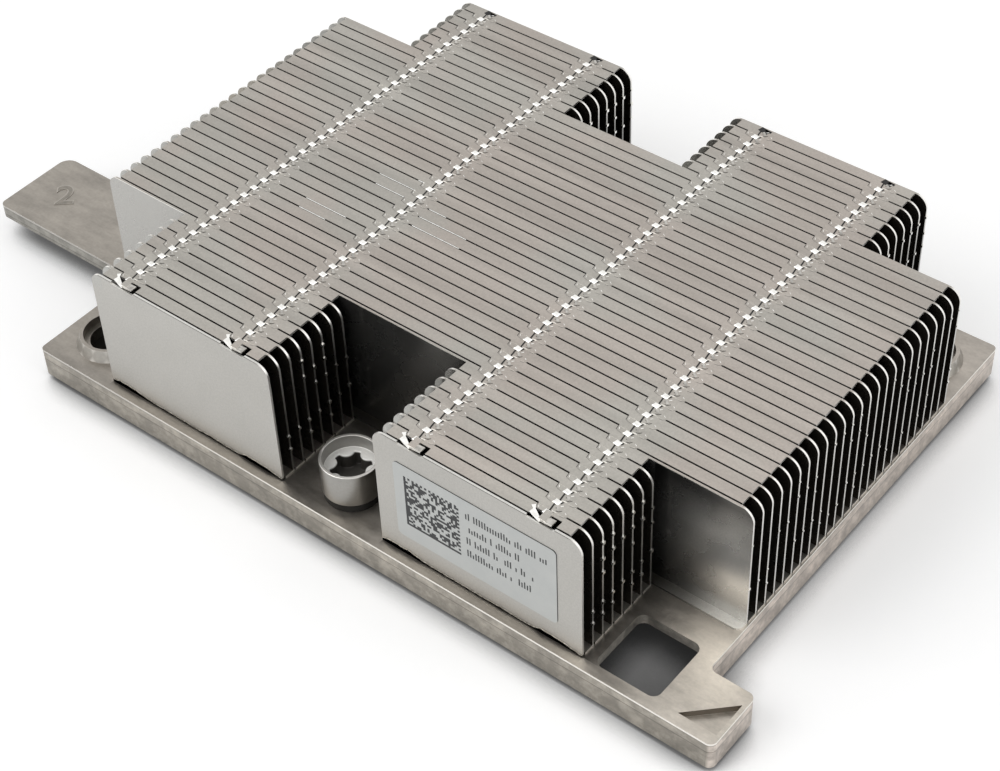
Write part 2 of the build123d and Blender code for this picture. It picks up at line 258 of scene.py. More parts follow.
class Recipe:
    """Adds and links the nodes of one material or node group."""

    def __init__(self, tree):
        self.tree = tree

    def node(self, kind, **settings):
        if not kind.startswith("NodeGroup"):
            kind = "ShaderNode" + kind
        made = self.tree.nodes.new(kind)
        for name, value in settings.items():
            setattr(made, name, value)
        return made

    def feed(self, socket, value):
        """Links a socket to a node's output, or sets a plain value on it."""
        if isinstance(value, bpy.types.NodeSocket):
            self.tree.links.new(value, socket)
        else:
            socket.default_value = value

    def math(self, operation, first, second=0.0, clamp=False):
        made = self.node("Math", operation=operation, use_clamp=clamp)
        self.feed(made.inputs[0], first)
        self.feed(made.inputs[1], second)
        return made.outputs[0]

    def times(self, first, *others):
        """The product of two or more values."""
        for other in others:
            first = self.math("MULTIPLY", first, other)
        return first

    def plus(self, first, second):
        return self.math("ADD", first, second)

    def minus(self, first, second):
        return self.math("SUBTRACT", first, second)

    def size(self, value):
        return self.math("ABSOLUTE", value)

    def larger(self, first, second):
        return self.math("MAXIMUM", first, second)

    def above(self, value, limit):
        """1 where value is above limit, else 0."""
        return self.math("GREATER_THAN", value, limit)

    def below(self, value, limit):
        """1 where value is below limit, else 0."""
        return self.math("LESS_THAN", value, limit)

    def ramp(self, value, low, high, to_low=0.0, to_high=1.0):
        """Maps value from low..high to to_low..to_high, held at both ends."""
        made = self.node("MapRange", clamp=True)
        for socket, number in zip(made.inputs[:5], (value, low, high, to_low, to_high)):
            self.feed(socket, number)
        return made.outputs[0]

    def spread(self, noise, to_low=0.0, to_high=1.0):
        """Maps the range that most of a noise falls in to to_low..to_high."""
        return self.ramp(noise, NOISE_LOW, NOISE_HIGH, to_low, to_high)

    def mix(self, share, first, second, blend="MIX"):
        made = self.node("Mix", data_type="RGBA", blend_type=blend)
        colours = [socket for socket in made.inputs if socket.type == "RGBA"]
        self.feed(made.inputs[0], share)
        self.feed(colours[0], first)
        self.feed(colours[1], second)
        return next(socket for socket in made.outputs if socket.type == "RGBA")

    def tint(self, colour, factor):
        """Multiplies a colour by a colour or a plain value."""
        return self.mix(1.0, colour, factor, "MULTIPLY")

    def noise(self, vector, scale, detail, roughness=0.55):
        made = self.node("TexNoise")
        self.feed(made.inputs["Vector"], vector)
        self.feed(made.inputs["Scale"], scale)
        self.feed(made.inputs["Detail"], detail)
        self.feed(made.inputs["Roughness"], roughness)
        return made.outputs[0]

    def stretch(self, vector, scale):
        made = self.node("Mapping")
        self.feed(made.inputs["Vector"], vector)
        made.inputs["Scale"].default_value = scale
        return made.outputs[0]

    def split(self, vector):
        made = self.node("SeparateXYZ")
        self.feed(made.inputs[0], vector)
        return made.outputs

    def group(self, tree, **values):
        made = self.node("Group", node_tree=tree)
        for name, value in values.items():
            self.feed(made.inputs[name.replace("_", " ").capitalize()], value)
        return made.outputs


def shader_group(name, inputs, outputs):
    """A new shader node group with its inner recipe, its inputs and its outputs."""
    tree = bpy.data.node_groups.new(name, "ShaderNodeTree")
    for label in inputs:
        kind = "NodeSocketVector" if label == "Vector" else "NodeSocketFloat"
        tree.interface.new_socket(label, in_out="INPUT", socket_type=kind)
    for label in outputs:
        tree.interface.new_socket(label, in_out="OUTPUT", socket_type="NodeSocketFloat")
    recipe = Recipe(tree)
    return recipe, recipe.node("NodeGroupInput").outputs, recipe.node("NodeGroupOutput").inputs


def make_grain_group():
    """Fine speckle and slow clouds: a tone around 1 for the colour and a height for the bump."""
    recipe, given, put = shader_group(
        "metal_grain",
        ["Vector", "Grain scale", "Grain amount", "Cloud scale", "Cloud amount"],
        ["Tone", "Height"],
    )
    grain = recipe.noise(given["Vector"], given["Grain scale"], detail=2.0)
    cloud = recipe.noise(given["Vector"], given["Cloud scale"], detail=4.0)
    fine = recipe.times(recipe.minus(grain, NOISE_MIDDLE), given["Grain amount"])
    slow = recipe.times(recipe.minus(cloud, NOISE_MIDDLE), given["Cloud amount"])
    recipe.feed(put["Tone"], recipe.plus(recipe.plus(fine, slow), 1.0))
    recipe.feed(put["Height"], grain)
    return recipe.tree


def make_facing_group():
    """Masks of the way a surface faces.

    Up, along the fins at their ends, to the front or rear, and slanting as eased edges and bends
    do, where wear and painted highlights go.
    """
    recipe, given, put = shader_group("facing", [], ["Up", "Ends", "Front", "Rear", "Slant"])
    x, y, z = recipe.split(recipe.node("NewGeometry").outputs["Normal"])
    along = recipe.size(x)
    across = recipe.size(y)
    upright = recipe.size(z)
    squarest = recipe.larger(recipe.larger(along, across), upright)
    for label, value, low, high in (
        ("Up", z, 0.5, 0.9),
        ("Ends", along, 0.15, 0.5),
        ("Front", y, -0.5, -0.9),
        ("Rear", y, 0.5, 0.9),
        ("Slant", squarest, 0.98, 0.85),
    ):
        recipe.feed(put[label], recipe.ramp(value, low, high))
    return recipe.tree


GRAIN = make_grain_group()
FACING = make_facing_group()


def new_material(name):
    """A material with a fresh Principled shader, its recipe and the object coordinates."""
    material = bpy.data.materials.new(name)
    material.use_nodes = True
    material.node_tree.nodes.clear()
    recipe = Recipe(material.node_tree)
    shader = recipe.node("BsdfPrincipled")
    output = recipe.node("OutputMaterial")
    recipe.feed(output.inputs["Surface"], shader.outputs[0])
    place = recipe.node("TexCoord").outputs["Object"]
    return material, recipe, shader, place


def add_bump(recipe, shader, height, strength, distance):
    bump = recipe.node("Bump")
    bump.inputs["Strength"].default_value = strength
    bump.inputs["Distance"].default_value = distance
    recipe.feed(bump.inputs["Height"], height)
    recipe.feed(shader.inputs["Normal"], bump.outputs[0])


def fill_shader(recipe, shader, colour, roughness, metallic=0.0):
    recipe.feed(shader.inputs["Base Color"], colour)
    recipe.feed(shader.inputs["Roughness"], roughness)
    recipe.feed(shader.inputs["Metallic"], metallic)


def flange_colour(recipe, place, x, y):
    """Satin top flanges: slow changes of hue, a tone for each fin, and painted light that makes
    them lighter to the right front.
    """
    per_fin = recipe.noise(recipe.stretch(place, (0.04, 1.0, 0.04)), scale=430.0, detail=1.0)
    hue = recipe.ramp(recipe.noise(place, scale=50.0, detail=2.0), 0.42, 0.58)
    colour = recipe.mix(hue, FLANGE, FLANGE_GREY)
    colour = recipe.tint(colour, recipe.spread(per_fin, to_low=0.92, to_high=1.08))
    # Painted light: lighter to the right front
    towards = recipe.ramp(recipe.minus(x, y), 0.0, 65.0 * MM, to_low=1.0, to_high=1.09)
    return recipe.tint(colour, towards)


def notch_web_colour(recipe, x, z):
    """The web behind the notches, with painted reflection and shade: dark in the middle, lighter at
    the left and out to the right.
    """
    in_right = recipe.above(x, NOTCH_RIGHT_START)
    in_left = recipe.below(x, NOTCH_LEFT_STOP)
    across = recipe.ramp(x, BLOCK_OUTER, NOTCH_RIGHT_FULL, to_low=0.13, to_high=0.8)
    down = recipe.ramp(z, FIN_TOP - 1.0 * MM, FIN_TOP - 7.0 * MM, to_low=0.2, to_high=1.0)
    near_base = recipe.ramp(z, BASE_TOP + 9.0 * MM, BASE_TOP + 2.0 * MM, to_low=1.0, to_high=0.35)
    level = recipe.times(across, down, near_base)
    level = recipe.mix(in_right, grey(NOTCH_MIDDLE_LEVEL), level)
    level = recipe.mix(in_left, level, grey(NOTCH_LEFT_LEVEL))
    return recipe.tint(NOTCH_WEB, level)


def lobed_web_colour(recipe, x, z, left_end, web):
    """A web inside the stack, with the lit lobe at its left end that shows past the next fin."""
    lobe_end = left_end + LOBE_WIDTH
    near_left = recipe.ramp(x, lobe_end + 0.05 * MM, lobe_end - 0.05 * MM)
    near_top = recipe.ramp(z, FIN_TOP - LOBE_HEIGHT - 0.7 * MM, FIN_TOP - LOBE_HEIGHT)
    return recipe.mix(recipe.times(near_left, near_top), web, LOBE)


def end_colour(recipe, z, level):
    """Cut ends: bright at the top and on the foot, with painted shade dimming them to a level
    between.
    """
    low_end = tuple(part * level for part in LOW_END) + (1,)
    height_share = recipe.ramp(z, FIN_TOP - 7.0 * MM, FIN_TOP - 1.5 * MM)
    foot = recipe.ramp(z, BASE_TOP + SHEET + 0.1 * MM, BASE_TOP + SHEET)
    return recipe.mix(foot, recipe.mix(height_share, low_end, CUT_END), CUT_END)


def fin_material(name, left_end, end_level, open_front=False, open_rear=False, notched=False):
    """Rolled aluminium sheet: satin flanges, bright cut ends, webs painted dark as shade inside the
    stack, and painted highlights on lit rims and bends.

    open_front is for a cover, open_rear for a fin with nothing behind it, and notched for the fin
    whose web shows in the front notches.
    """
    material, recipe, shader, place = new_material(name)
    facing = recipe.group(FACING)
    grain = recipe.group(
        GRAIN,
        vector=place,
        grain_scale=3800.0,
        grain_amount=0.34,
        cloud_scale=55.0,
        cloud_amount=0.16,
    )
    x, y, z = recipe.split(place)
    if notched:
        web = notch_web_colour(recipe, x, z)
    else:
        web = lobed_web_colour(recipe, x, z, left_end, SHEET_SIDE if open_front else INSIDE_SHADE)
    # Painted highlight along the lit top of each front face, or a painted shade line on a cover
    rim = recipe.ramp(z, FIN_TOP - 1.4 * RIM_HEIGHT, FIN_TOP - 0.8 * RIM_HEIGHT)
    front = recipe.mix(rim, web, SHADED_EDGE if open_front else SHEET_HIGHLIGHT)
    # Painted shade: the faces inside the stack are dark, apart from their front faces
    colour = recipe.mix(facing["Front"], INSIDE_SHADE, front)
    if open_rear:
        colour = recipe.mix(facing["Rear"], colour, SHEET_SIDE)
    # A cover's top face gets a painted highlight; other fins get their flange colour
    top = COVER_TOP_HIGHLIGHT if open_front else flange_colour(recipe, place, x, y)
    colour = recipe.mix(facing["Up"], colour, top)
    if notched:
        # Painted light and shade on the ledge: dim at the left, lit to the right
        ledge = recipe.ramp(z, BASE_TOP + 1.0 * MM, BASE_TOP + 0.5 * MM)
        lit = recipe.ramp(x, BLOCK_OUTER, BLOCK_OUTER + LEDGE_REACH)
        lit_ledge = recipe.mix(lit, DIM_LEDGE, SHEET_HIGHLIGHT)
        colour = recipe.mix(recipe.times(ledge, facing["Up"]), colour, lit_ledge)
    # Painted highlight on the rounded bends
    mostly_up = recipe.plus(facing["Up"], 0.4)
    slant_up = recipe.math("MULTIPLY", facing["Slant"], mostly_up, clamp=True)
    colour = recipe.mix(slant_up, colour, SHEET_HIGHLIGHT)
    colour = recipe.mix(facing["Ends"], colour, end_colour(recipe, z, end_level))
    colour = recipe.tint(colour, grain["Tone"])
    open_web = recipe.larger(facing["Front"], facing["Rear"])
    smooth_web = recipe.ramp(open_web, 0.0, 1.0, to_low=0.42, to_high=0.45 if open_front else 0.26)
    blotch = recipe.noise(place, scale=160.0, detail=4.0)
    roughness = recipe.plus(smooth_web, recipe.spread(blotch, to_low=-0.05, to_high=0.06))
    metallic = recipe.ramp(open_web, 0.0, 1.0, to_low=1.0, to_high=0.85)
    fill_shader(recipe, shader, colour, roughness, metallic)
    waves = recipe.noise(recipe.stretch(place, (1.0, 1.0, 0.45)), scale=140.0, detail=2.0)
    height = recipe.plus(recipe.times(grain["Height"], 0.2), waves)
    add_bump(recipe, shader, height, strength=0.03 if notched else 0.12, distance=0.08 * MM)
    return material


def shade_top(recipe, colour, facing, x, y):
    """Shade on the base's top: before the covers, and beside the two blocks of fins."""
    along = recipe.size(x)
    by_block = recipe.times(
        recipe.above(along, BLOCK_INNER), recipe.below(along, BLOCK_OUTER), facing["Up"]
    )
    by_cover = recipe.ramp(y, FIRST_FACE - 1.0 * MM, FIRST_FACE - 0.2 * MM, to_low=0.0, to_high=0.5)
    colour = recipe.mix(recipe.times(by_block, by_cover), colour, DARK_LINE)
    for end, most in BLOCK_SHADES:
        past = recipe.minus(x, end)
        shade = recipe.times(
            recipe.above(past, 0.0),
            facing["Up"],
            recipe.ramp(past, 0.0, BLOCK_SHADE_REACH, to_low=most, to_high=0.0),
            recipe.above(y, FIRST_FACE),
        )
        colour = recipe.mix(shade, colour, DARK_LINE)
    return colour


def casting_material():
    """Die-cast aluminium: mottled satin skin, fine sand grain, worn edges and a parting line, with
    painted light and shade on its edges, sides and recess.
    """
    material, recipe, shader, place = new_material("cast_aluminium")
    facing = recipe.group(FACING)
    grain = recipe.group(
        GRAIN,
        vector=place,
        grain_scale=2200.0,
        grain_amount=0.22,
        cloud_scale=70.0,
        cloud_amount=0.5,
    )
    x, y, z = recipe.split(place)
    beside = recipe.minus(1.0, facing["Up"])

    # Top, lighter towards the short tab
    right_share = recipe.ramp(x, *RIGHT_FADE)
    front_share = recipe.ramp(y, *FRONT_FADE)
    colour = recipe.mix(right_share, SKIN, SKIN_RIGHT)
    colour = recipe.mix(recipe.times(right_share, front_share), colour, SKIN_TAB)

    # Sides: outer ones of the rim and the tabs, inner ones of the holes and the window, with
    # painted light and shade: lighter on the ends and by the window, darker in the holes
    far_x = recipe.above(recipe.size(x), WIDE_END - SIDE_DEPTH)
    far_y = recipe.above(recipe.size(y), base_high.y - SIDE_DEPTH)
    outer = recipe.larger(far_x, far_y)
    flank = recipe.mix(facing["Ends"], LONG_SIDE, LIT_END_SIDE)
    flank = recipe.mix(recipe.below(x, -WIDE_END), flank, LONG_TAB_SIDE)
    by_window = recipe.times(recipe.above(x, BLOCK_OUTER), recipe.below(y, 0.0))
    flank = recipe.mix(outer, recipe.mix(by_window, SHADED_INNER_SIDE, LIT_WINDOW_SIDE), flank)
    colour = recipe.mix(beside, colour, flank)

    # Darker lower half of the rim, and the parting line
    plate_bottom = BASE_TOP - PLATE_THICKNESS
    lower = recipe.ramp(z, plate_bottom + 0.03 * MM, plate_bottom - 0.03 * MM)
    colour = recipe.mix(recipe.times(lower, 0.14), colour, DARK_LINE)
    off_line = recipe.size(recipe.minus(z, plate_bottom))
    parting = recipe.ramp(off_line, 0.04 * MM, 0.08 * MM, to_low=0.6, to_high=0.0)
    colour = recipe.mix(recipe.times(parting, beside), colour, DARK_LINE)

    colour = shade_top(recipe, colour, facing, x, y)

    # Streaks everywhere, stains on the sides, and painted shade on the floor of the short tab's
    # recess
    stretched = recipe.stretch(place, (0.35, 1.0, 1.0))
    streaks = recipe.noise(stretched, scale=420.0, detail=4.0, roughness=0.7)
    colour = recipe.tint(colour, recipe.ramp(streaks, 0.3, 0.75, to_low=0.76, to_high=1.16))
    blots = recipe.noise(place, scale=560.0, detail=5.0, roughness=0.7)
    stains = recipe.ramp(blots, 0.42, 0.62, to_low=0.76, to_high=1.08)
    colour = recipe.tint(colour, recipe.mix(beside, WHITE, stains))
    sunk = recipe.below(z, BASE_TOP - RECESS_DEPTH)
    over = recipe.above(x, base_high.x - RECESS_REACH)
    recess_floor_shade = recipe.times(sunk, over, facing["Up"])
    colour = recipe.tint(colour, recipe.ramp(recess_floor_shade, 0.0, 1.0, to_low=1.0, to_high=0.86))
    colour = recipe.tint(colour, grain["Tone"])

    # Wear and painted light: worn slanting edges that also take a painted highlight, and a painted
    # highlight line with a painted shade line under it along the outer top edge
    normal_x, normal_y, normal_z = recipe.split(recipe.node("NewGeometry").outputs["Normal"])
    wear_and_highlight = recipe.times(facing["Slant"], recipe.ramp(normal_z, 0.2, 0.5))
    under_top = recipe.minus(BASE_TOP, z)
    outer_side = recipe.times(beside, outer)
    under_edge_shade = recipe.ramp(under_top, 2.0 * EDGE_LINE, EDGE_LINE, to_low=0.0, to_high=0.55)
    colour = recipe.mix(recipe.times(under_edge_shade, outer_side), colour, DARK_LINE)
    edge_highlight = recipe.times(
        recipe.ramp(under_top, EDGE_LINE + 0.06 * MM, EDGE_LINE),
        recipe.ramp(x, -base_high.x, 0.0, to_low=0.4, to_high=0.9),
        outer_side,
    )
    exposed = recipe.ramp(outer, 0.0, 1.0, to_low=0.4, to_high=1.0)
    wear_and_highlight = recipe.times(recipe.larger(wear_and_highlight, edge_highlight), exposed)
    colour = recipe.mix(wear_and_highlight, colour, WORN_AND_LIT_CASTING)

    # Painted shade on the slanting wall of the recess
    slanting = recipe.above(recipe.minus(normal_x, normal_y), RECESS_SLANT)
    behind = recipe.below(recipe.minus(x, y), RECESS_LIMIT)
    colour = recipe.mix(recipe.times(slanting, behind, over), colour, SHADED_RECESS_WALL)

    roughness = recipe.spread(streaks, to_low=0.3, to_high=0.46)
    fill_shader(recipe, shader, colour, roughness, metallic=0.9)
    cast = recipe.noise(place, scale=900.0, detail=4.0, roughness=0.6)
    height = recipe.plus(recipe.times(grain["Height"], 0.3), cast)
    add_bump(recipe, shader, height, strength=0.35, distance=0.06 * MM)
    return material


def nut_material():
    """Turned steel: fine rings on the flat faces and lines round the side, with painted light on
    its tops and the floor of its bore, painted shade in the drive, and worn outer edges with a
    painted highlight.
    """
    material, recipe, shader, place = new_material("turned_steel")
    facing = recipe.group(FACING)
    grain = recipe.group(
        GRAIN,
        vector=place,
        grain_scale=3000.0,
        grain_amount=0.18,
        cloud_scale=200.0,
        cloud_amount=0.2,
    )
    x, y, z = recipe.split(place)
    from_axis = recipe.minus(recipe.size(y), NUT_Y)
    squares = recipe.plus(recipe.times(x, x), recipe.times(from_axis, from_axis))
    radius = recipe.math("SQRT", squares)
    floor_height = nut_high.z - NUT_RIM_DEPTH
    in_drive = recipe.ramp(z, floor_height - 0.1 * MM, floor_height - 0.3 * MM)
    in_bore = recipe.ramp(radius, NUT_BORE + 0.02 * MM, NUT_BORE - 0.02 * MM)
    above_floor = recipe.ramp(z, floor_height + 0.02 * MM, floor_height + 0.1 * MM)
    # Painted light on the floor of the bore and painted shade in the drive below it
    inside = recipe.mix(above_floor, LIT_BORE_FLOOR, BORE_WALL)
    inside = recipe.mix(in_drive, inside, DRIVE_SHADE)
    # Painted light: the faces that look up are lighter than the side
    outside = recipe.mix(facing["Up"], STEEL, LIT_STEEL_TOP)
    colour = recipe.mix(in_bore, outside, inside)
    # Outer eased edges: wear with a painted highlight
    outer_wear_and_highlight = recipe.times(facing["Slant"], recipe.minus(1.0, in_bore), facing["Up"])
    colour = recipe.mix(outer_wear_and_highlight, colour, WORN_AND_LIT_STEEL)
    colour = recipe.tint(colour, grain["Tone"])
    roughness = recipe.ramp(grain["Tone"], 0.85, 1.15, to_low=0.24, to_high=0.36)
    metallic = recipe.ramp(in_bore, 0.0, 1.0, to_low=1.0, to_high=0.25)
    fill_shader(recipe, shader, colour, roughness, metallic)
    ring_wave = recipe.math("SINE", recipe.times(radius, FULL_TURN / NUT_RING_PITCH))
    turn_wave = recipe.math("SINE", recipe.times(z, FULL_TURN / NUT_TURN_PITCH))
    wave = recipe.node("Mix", data_type="FLOAT")
    recipe.feed(wave.inputs[0], facing["Up"])
    recipe.feed(wave.inputs[2], turn_wave)
    recipe.feed(wave.inputs[3], ring_wave)
    add_bump(recipe, shader, wave.outputs[0], strength=0.12, distance=0.01 * MM)
    return material


def washer_material():
    """Black plastic, a little paler on its worn edges."""
    material, recipe, shader, place = new_material("black_plastic")
    speckle = recipe.noise(place, scale=2600.0, detail=3.0)
    patch = recipe.ramp(speckle, 0.35, 0.7)
    colour = recipe.mix(patch, (0.004, 0.004, 0.003, 1), (0.012, 0.011, 0.01, 1))
    worn = recipe.times(recipe.group(FACING)["Slant"], 0.5)
    colour = recipe.mix(worn, colour, (0.03, 0.03, 0.028, 1))
    shader.inputs["Specular IOR Level"].default_value = 0.25
    fill_shader(recipe, shader, colour, recipe.spread(speckle, to_low=0.45, to_high=0.65))
    add_bump(recipe, shader, speckle, strength=0.2, distance=0.02 * MM)
    return material


def film_material():
    """Printed label film: pale grey with a faint clouding and a soft gloss."""
    material, recipe, shader, place = new_material("label_film")
    cloud = recipe.noise(place, scale=300.0, detail=4.0)
    colour = recipe.mix(recipe.spread(cloud), (0.47, 0.485, 0.475, 1), (0.52, 0.53, 0.515, 1))
    fill_shader(recipe, shader, colour, recipe.spread(cloud, to_low=0.3, to_high=0.42))
    fine = recipe.noise(place, scale=1800.0, detail=2.0)
    add_bump(recipe, shader, fine, strength=0.1, distance=0.01 * MM)
    return material


def ink_material():
    """Black print with small patches of a thinner ink."""
    material, recipe, shader, place = new_material("print_ink")
    patch = recipe.noise(place, scale=1500.0, detail=3.0)
    thin = recipe.ramp(patch, 0.3, 0.75)
    colour = recipe.mix(thin, (0.008, 0.009, 0.01, 1), (0.03, 0.032, 0.034, 1))
    fill_shader(recipe, shader, colour, recipe.spread(patch, to_low=0.4, to_high=0.6))
    add_bump(recipe, shader, patch, strength=0.05, distance=0.005 * MM)
    return material


def bent_metal_material(name, colour_low, colour_high, roughness):
    """Worked metal that is a little uneven in colour and gloss."""
    material, recipe, shader, place = new_material(name)
    patch = recipe.noise(place, scale=1400.0, detail=3.0)
    colour = recipe.mix(recipe.ramp(patch, 0.35, 0.65), colour_low, colour_high)
    gloss = recipe.spread(patch, to_low=roughness, to_high=roughness + 0.12)
    fill_shader(recipe, shader, colour, gloss, metallic=1.0)
    add_bump(recipe, shader, patch, strength=0.3, distance=0.05 * MM)
    return material


def gap_shade_material(name, low, high):
    """Painted shade: the dark of a gap between two sheets, from one level to another."""
    material, recipe, shader, place = new_material(name)
    patch = recipe.noise(place, scale=1200.0, detail=3.0)
    tones = [(level, level * 0.95, level * 0.9, 1) for level in (low, high)]
    colour = recipe.mix(recipe.spread(patch), *tones)
    fill_shader(recipe, shader, colour, recipe.spread(patch, to_low=0.6, to_high=0.8))
    add_bump(recipe, shader, patch, strength=0.1, distance=0.01 * MM)
    return material


def is_square(normal):
    """Whether a face looks straight along an axis."""
    return max(abs(part) for part in normal) > SQUARE_LIMIT


def settle(bm, name, material, node=None, flat=False):
    """Turns a finished bmesh into a piece that rides on the heatsink.

    With flat its square faces are shaded flat, and without it all its normals are evened out.
    """
    mesh = bpy.data.meshes.new(name)
    bm.to_mesh(mesh)
    bm.free()
    mesh.set_sharp_from_angle(angle=SMOOTH_ANGLE)
    for face in mesh.polygons:
        face.use_smooth = not (flat and is_square(face.normal))
    piece = bpy.data.objects.new(name, mesh)
    bpy.context.scene.collection.objects.link(piece)
    piece.data.materials.append(material)
    if not flat:
        even = piece.modifiers.new("even_normals", "WEIGHTED_NORMAL")
        even.keep_sharp = True
    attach(piece, "root")
    if node:
        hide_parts(node)


def merged_copy(node):
    """A CAD node's form as a bmesh, with its triangles joined into plain faces."""
    bm = bmesh.new()
    bm.from_mesh(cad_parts[node].data)
    bmesh.ops.remove_doubles(bm, verts=bm.verts, dist=MERGE_DISTANCE)
    bmesh.ops.dissolve_limit(bm, angle_limit=FLAT_ANGLE, verts=bm.verts, edges=bm.edges)
    return bm


def ease(bm, edges, width, steps):
    bmesh.ops.bevel(
        bm,
        geom=edges,
        offset=width,
        segments=steps,
        profile=0.5,
        affect="EDGES",
        material=-1,
        clamp_overlap=True,
    )


def sharp_edges(bm, angle):
    return [e for e in bm.edges if len(e.link_faces) == 2 and e.calc_face_angle(0) > angle]


def dress_node(node, name, material, angle, width, shortest=0.0):
    """Stands in for a CAD node with its form, eased along the edges sharper than an angle."""
    bm = merged_copy(node)
    edges = [e for e in sharp_edges(bm, angle) if e.calc_length() > shortest]
    ease(bm, edges, width, EASE_STEPS)
    settle(bm, name, material, node)


def add_block(bm, centre, size, turn=None):
    """Adds a small box, turned about its own centre, and gives back its corners."""
    made = bmesh.ops.create_cube(bm, size=1.0)["verts"]
    bmesh.ops.scale(bm, vec=size, verts=made)
    if turn:
        bmesh.ops.rotate(bm, cent=(0, 0, 0), matrix=turn, verts=made)
    bmesh.ops.translate(bm, vec=centre, verts=made)
    return made


def fin_face(station):
    """Front face of the fin at a station, counted from 1."""
    return FIRST_FACE + (station - 1) * PITCH


def slit_place(station):
    """Middle of the slit behind the fin at a station."""
    return fin_face(station) + SHEET + SLIT / 2


def folded_fin(node, material):
    """A fin with its bends rounded where the flanges fold off the rear of the web."""
    bm = merged_copy(node)
    back = max(v.co.y for v in bm.verts)
    bends = []
    for edge in bm.edges:
        first, second = (v.co for v in edge.verts)
        along_back = abs(first.y - back) < NEAR and abs(second.y - back) < NEAR
        level = abs(first.z - second.z) < NEAR
        at_fold = min(abs(first.z - FIN_TOP), abs(first.z - BASE_TOP)) < NEAR
        if along_back and level and at_fold and len(edge.link_faces) == 2:
            bends.append(edge)
    ease(bm, bends, BEND_RADIUS, BEND_STEPS)
    settle(bm, "dressed_" + node, material, node, flat=True)


def make_fins():
    """Every fin in its place, with a material that suits what lies beside it."""
    cover = fin_material("fin_sheet_cover", -BLOCK_OUTER, COVER_END_LEVEL, open_front=True)
    notched = fin_material("fin_sheet_notched", -WIDE_END, WIDE_END_LEVEL, notched=True)
    wide = fin_material("fin_sheet_wide", -WIDE_END, WIDE_END_LEVEL)
    wide_rear = fin_material("fin_sheet_wide_rear", -WIDE_END, WIDE_END_LEVEL, open_rear=True)
    for side, left_end, level in (
        ("left", -BLOCK_OUTER, LEFT_END_LEVEL),
        ("right", BLOCK_INNER, RIGHT_END_LEVEL),
    ):
        block = fin_material("fin_sheet_" + side, left_end, level)
        block_rear = fin_material("fin_sheet_rear_" + side, left_end, level, open_rear=True)
        front_cover = f"front_{side}_fin_1"
        bm = merged_copy(front_cover)
        settle(bm, "dressed_" + front_cover, cover, front_cover, flat=True)
        for number in range(2, FRONT_BLOCK_FINS + 1):
            folded_fin(f"front_{side}_fin_{number}", block)
        for number in range(1, REAR_BLOCK_FINS + 1):
            last = number == REAR_BLOCK_FINS
            folded_fin(f"rear_{side}_fin_{number}", block_rear if last else block)
    for number in range(1, WIDE_FINS + 1):
        chosen = {1: notched, WIDE_FINS: wide_rear}.get(number, wide)
        folded_fin(f"wide_fin_{number}", chosen)


def right_ends(station):
    """Right ends of the sheets at a station."""
    if FRONT_BLOCK_FINS < station <= FRONT_BLOCK_FINS + WIDE_FINS:
        return [WIDE_END]
    return [-BLOCK_INNER, BLOCK_OUTER]


def make_nibs(material):
    """Tiny nibs that the sheets keep on their cut ends."""
    chance = random.Random(NIB_SEED)
    bm = bmesh.new()
    for station in range(2, FIN_COUNT + 1):
        middle = fin_face(station) + SHEET / 2
        for end in right_ends(station):
            wide = end == WIDE_END
            share = WIDE_NIB_SHARE if wide else NIB_SHARE
            scale = WIDE_NIB_SCALE if wide else 1.0
            for height in NIB_HEIGHTS:
                if chance.random() < share:
                    x = end + (NIB_REACH - NIB_SIZE.x / 2) * scale
                    off = chance.uniform(-NIB_SCATTER, NIB_SCATTER)
                    place = Vector((x, middle, BASE_TOP + height + off))
                    add_block(bm, place, NIB_SIZE * chance.uniform(NIB_SMALLEST, 1.0) * scale)
    settle(bm, "sheet_nibs", material)


def add_line(bm, start, end, width, rise=MARK_THICKNESS / 2):
    """A flat mark on the flanges from start to end, both (x, y), that stands up by rise."""
    start, end = Vector(start), Vector(end)
    run = end - start
    turn = Matrix.Rotation(math.atan2(run.y, run.x), 3, "Z")
    middle = (start + end) / 2
    level = FIN_TOP + (rise - MARK_THICKNESS) / 2
    size = Vector((run.length + width, width, MARK_THICKNESS + rise))
    add_block(bm, Vector((middle.x, middle.y, level)), size, turn)


def add_path(bm, centre, slit, points, width, rise=MARK_THICKNESS / 2):
    """A chain of flat marks; the points are (x, y) in mm from the zipper's centre and the slit."""
    places = [(centre + x * MM, slit + y * MM) for x, y in points]
    for start, end in zip(places, places[1:]):
        add_line(bm, start, end, width * MM, rise)


# Marks of each hook: points (x, y) and a width, all in mm, from the zipper's centre and the slit
DEEP_PATHS = (
    (((-0.26, -0.24), (-0.42, 0.88)), 0.2),
    (((0.2, -0.6), (0.3, -0.3)), 0.14),
    (((-0.26, -0.22), (0.22, -0.3)), 0.06),
)
WING_PATHS = (
    (((0.15, 0.8), (0.55, 0.45)), 0.34),
)
SHALLOW_PATHS = (
    (((-2.06, -0.05), (-1.94, -0.75)), 0.08),
    (((0.12, 0.5), (0.2, 0.9)), 0.08),
    (((0.4, 0.12), (0.78, 0.2), (0.98, 0.5)), 0.08),
)
FAINT_PATHS = (
    (((-1.94, -0.75), (-1.54, -0.9), (-1.0, -1.0)), 0.05),
    (((2.02, 0.0), (1.7, -0.25), (1.25, -0.32)), 0.05),
)
# Painted highlights on the lit edges of each hook
HIGHLIGHT_PATHS = (
    (((0.5, 1.02), (0.66, 1.2)), 0.12),
    (((0.02, -0.12), (0.58, -0.07)), 0.06),
    (((-1.75, -0.35), (-1.6, -0.6)), 0.07),
    (((1.5, 0.45), (1.75, 0.3)), 0.07),
)

